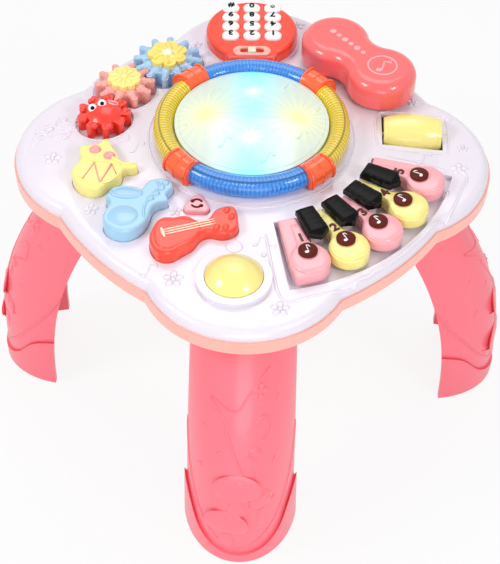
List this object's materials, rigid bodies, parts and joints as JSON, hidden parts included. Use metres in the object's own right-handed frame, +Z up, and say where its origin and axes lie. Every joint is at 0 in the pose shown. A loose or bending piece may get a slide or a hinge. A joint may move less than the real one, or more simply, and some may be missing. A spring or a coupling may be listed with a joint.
{
  "type": "musical activity table",
  "caption": "Low musical activity table on curved legs with a light-up drum, piano keys, phone keypad and handset, turning gears, instrument buttons and a roller.",
  "frame": {"origin": "centre of the footprint on the floor", "axes": "+Z up, -Y towards the front leg and the dome button, +X towards the roller and the right leg"},
  "size_m": [0.4, 0.4, 0.2499],
  "materials": {
    "cover_white": "glossy moulded plastic",
    "band_peach": "satin",
    "leg_coral": "satin",
    "drum_milky": "translucent milky",
    "ring_blue": "translucent glossy",
    "ring_yellow": "translucent glossy",
    "clamp_orange": "glossy",
    "keypad_red": "glossy",
    "key_yellow": "glossy",
    "handset_coral": "glossy",
    "gear_blue": "glossy",
    "gear_pink": "glossy",
    "gear_red": "glossy",
    "cap_yellow": "glossy",
    "key_pink": "glossy",
    "black_key": "glossy",
    "guitar_orange": "glossy",
    "snare_yellow": "glossy",
    "sax_blue": "glossy",
    "slider_cream": "satin",
    "screw_steel": "zinc plated",
    "board_green": "coated",
    "lamp_clear": "clear",
    "speaker_black": "matte",
    "cell_casing": "plain sleeve"
  },
  "bodies": {
    "table": {"top_cover": "cover_white", "bottom_housing": "band_peach", "battery_door": "band_peach", "battery_cells": "cell_casing", "leg_screws": "screw_steel", "case_screws": "screw_steel", "gear_screws": "screw_steel", "key_pivot_pins": "screw_steel", "roller_axle": "screw_steel", "keypad_panel": "keypad_red", "keypad_board": "board_green", "circuit_board": "board_green", "led_lamps": "lamp_clear", "speaker": "speaker_black", "switch_bezel": "band_peach", "black_keys": "black_key", "leg_right": "leg_coral", "leg_back": "leg_coral", "leg_left": "leg_coral", "leg_front": "leg_coral", "ring_front_blue": "ring_blue", "ring_back_blue": "ring_blue", "ring_left_yellow": "ring_yellow", "ring_right_yellow": "ring_yellow", "ring_clamp_front_right": "clamp_orange", "ring_clamp_front_left": "clamp_orange", "ring_clamp_back_right": "clamp_orange", "ring_clamp_back_left": "clamp_orange"},
    "drum": {"drum_pad": "drum_milky"},
    "handset": {"handset_lower_shell": "handset_coral", "handset_upper_shell": "handset_coral"},
    "blue_gear": {"blue_flower_gear": "gear_blue", "pinwheel_cap": "cap_yellow"},
    "pink_gear": {"pink_flower_gear": "gear_pink", "daisy_cap": "cap_yellow"},
    "red_gear": {"red_animal_gear": "gear_red"},
    "slider": {"switch_slider": "slider_cream"},
    "roller": {"roller": "snare_yellow"},
    "snare": {"drum_button": "snare_yellow"},
    "saxophone": {"saxophone_button": "sax_blue"},
    "guitar": {"guitar_button": "guitar_orange"},
    "mode": {"mode_button": "key_pink"},
    "dome": {"dome_button": "snare_yellow"},
    "keypad_3": {"keypad_key_3": "key_yellow"},
    "keypad_2": {"keypad_key_2": "key_yellow"},
    "keypad_1": {"keypad_key_1": "key_yellow"},
    "keypad_6": {"keypad_key_6": "key_yellow"},
    "keypad_5": {"keypad_key_5": "key_yellow"},
    "keypad_4": {"keypad_key_4": "key_yellow"},
    "keypad_9": {"keypad_key_9": "key_yellow"},
    "keypad_8": {"keypad_key_8": "key_yellow"},
    "keypad_7": {"keypad_key_7": "key_yellow"},
    "keypad_hash": {"keypad_key_hash": "key_yellow"},
    "keypad_0": {"keypad_key_0": "key_yellow"},
    "keypad_star": {"keypad_key_star": "key_yellow"},
    "piano_1": {"piano_key_1": "key_pink"},
    "piano_2": {"piano_key_2": "key_yellow"},
    "piano_3": {"piano_key_3": "key_pink"},
    "piano_4": {"piano_key_4": "key_yellow"},
    "piano_5": {"piano_key_5": "key_pink"}
  },
  "joints": [
    {"name": "drum_press", "type": "slide", "parent": "table", "child": "drum", "axis": [0, 0, -1], "range_m": [0, 0.002], "stiffness_N_per_m": 1500},
    {"name": "snare_press", "type": "slide", "parent": "table", "child": "snare", "axis": [0, 0, -1], "range_m": [0, 0.002], "stiffness_N_per_m": 1500},
    {"name": "saxophone_press", "type": "slide", "parent": "table", "child": "saxophone", "axis": [0, 0, -1], "range_m": [0, 0.002], "stiffness_N_per_m": 1500},
    {"name": "guitar_press", "type": "slide", "parent": "table", "child": "guitar", "axis": [0, 0, -1], "range_m": [0, 0.002], "stiffness_N_per_m": 1500},
    {"name": "mode_press", "type": "slide", "parent": "table", "child": "mode", "axis": [0, 0, -1], "range_m": [0, 0.002], "stiffness_N_per_m": 1500},
    {"name": "dome_press", "type": "slide", "parent": "table", "child": "dome", "axis": [0, 0, -1], "range_m": [0, 0.002], "stiffness_N_per_m": 1500},
    {"name": "keypad_3_press", "type": "slide", "parent": "table", "child": "keypad_3", "axis": [0, 0, -1], "range_m": [0, 0.0015], "stiffness_N_per_m": 1500},
    {"name": "keypad_2_press", "type": "slide", "parent": "table", "child": "keypad_2", "axis": [0, 0, -1], "range_m": [0, 0.0015], "stiffness_N_per_m": 1500},
    {"name": "keypad_1_press", "type": "slide", "parent": "table", "child": "keypad_1", "axis": [0, 0, -1], "range_m": [0, 0.0015], "stiffness_N_per_m": 1500},
    {"name": "keypad_6_press", "type": "slide", "parent": "table", "child": "keypad_6", "axis": [0, 0, -1], "range_m": [0, 0.0015], "stiffness_N_per_m": 1500},
    {"name": "keypad_5_press", "type": "slide", "parent": "table", "child": "keypad_5", "axis": [0, 0, -1], "range_m": [0, 0.0015], "stiffness_N_per_m": 1500},
    {"name": "keypad_4_press", "type": "slide", "parent": "table", "child": "keypad_4", "axis": [0, 0, -1], "range_m": [0, 0.0015], "stiffness_N_per_m": 1500},
    {"name": "keypad_9_press", "type": "slide", "parent": "table", "child": "keypad_9", "axis": [0, 0, -1], "range_m": [0, 0.0015], "stiffness_N_per_m": 1500},
    {"name": "keypad_8_press", "type": "slide", "parent": "table", "child": "keypad_8", "axis": [0, 0, -1], "range_m": [0, 0.0015], "stiffness_N_per_m": 1500},
    {"name": "keypad_7_press", "type": "slide", "parent": "table", "child": "keypad_7", "axis": [0, 0, -1], "range_m": [0, 0.0015], "stiffness_N_per_m": 1500},
    {"name": "keypad_hash_press", "type": "slide", "parent": "table", "child": "keypad_hash", "axis": [0, 0, -1], "range_m": [0, 0.0015], "stiffness_N_per_m": 1500},
    {"name": "keypad_0_press", "type": "slide", "parent": "table", "child": "keypad_0", "axis": [0, 0, -1], "range_m": [0, 0.0015], "stiffness_N_per_m": 1500},
    {"name": "keypad_star_press", "type": "slide", "parent": "table", "child": "keypad_star", "axis": [0, 0, -1], "range_m": [0, 0.0015], "stiffness_N_per_m": 1500},
    {"name": "piano_1_press", "type": "hinge", "parent": "table", "child": "piano_1", "pos_m": [0.03056, -0.07608, 0.2222], "axis": [0.9421, 0.3355, 0], "range_deg": [0, 3.5], "stiffness_Nm_per_rad": 2},
    {"name": "piano_2_press", "type": "hinge", "parent": "table", "child": "piano_2", "pos_m": [0.0493, -0.06695, 0.2222], "axis": [0.8443, 0.5358, 0], "range_deg": [0, 3.5], "stiffness_Nm_per_rad": 2},
    {"name": "piano_3_press", "type": "hinge", "parent": "table", "child": "piano_3", "pos_m": [0.06555, -0.05388, 0.2222], "axis": [0.7046, 0.7096, 0], "range_deg": [0, 3.5], "stiffness_Nm_per_rad": 2},
    {"name": "piano_4_press", "type": "hinge", "parent": "table", "child": "piano_4", "pos_m": [0.07849, -0.03755, 0.2222], "axis": [0.5299, 0.848, 0], "range_deg": [0, 3.5], "stiffness_Nm_per_rad": 2},
    {"name": "piano_5_press", "type": "hinge", "parent": "table", "child": "piano_5", "pos_m": [0.0875, -0.01875, 0.2222], "axis": [0.3289, 0.9444, 0], "range_deg": [0, 3.5], "stiffness_Nm_per_rad": 2},
    {"name": "switch_slide", "type": "slide", "parent": "table", "child": "slider", "axis": [0.999, 0.0436, 0], "range_m": [-0.003, 0.003]},
    {"name": "handset_lift", "type": "slide", "parent": "table", "child": "handset", "axis": [0, 0, 1], "range_m": [0, 0.1]},
    {"name": "blue_spin", "type": "hinge", "parent": "table", "child": "blue_gear", "pos_m": [-0.06678, 0.08851, 0.2269], "axis": [0, 0, 1], "continuous": true},
    {"name": "pink_spin", "type": "hinge", "parent": "table", "child": "pink_gear", "pos_m": [-0.0961, 0.0595, 0.2269], "axis": [0, 0, 1], "continuous": true},
    {"name": "red_spin", "type": "hinge", "parent": "table", "child": "red_gear", "pos_m": [-0.10764, 0.0258, 0.2269], "axis": [0, 0, 1], "continuous": true},
    {"name": "roller_spin", "type": "hinge", "parent": "table", "child": "roller", "pos_m": [0.114, 0.026, 0.22051], "axis": [1, 0, 0], "continuous": true}
  ],
  "couplings": [
    {"joint": "pink_spin", "follows": "blue_spin", "ratio": -1.2},
    {"joint": "red_spin", "follows": "blue_spin", "ratio": 1.3333}
  ]
}
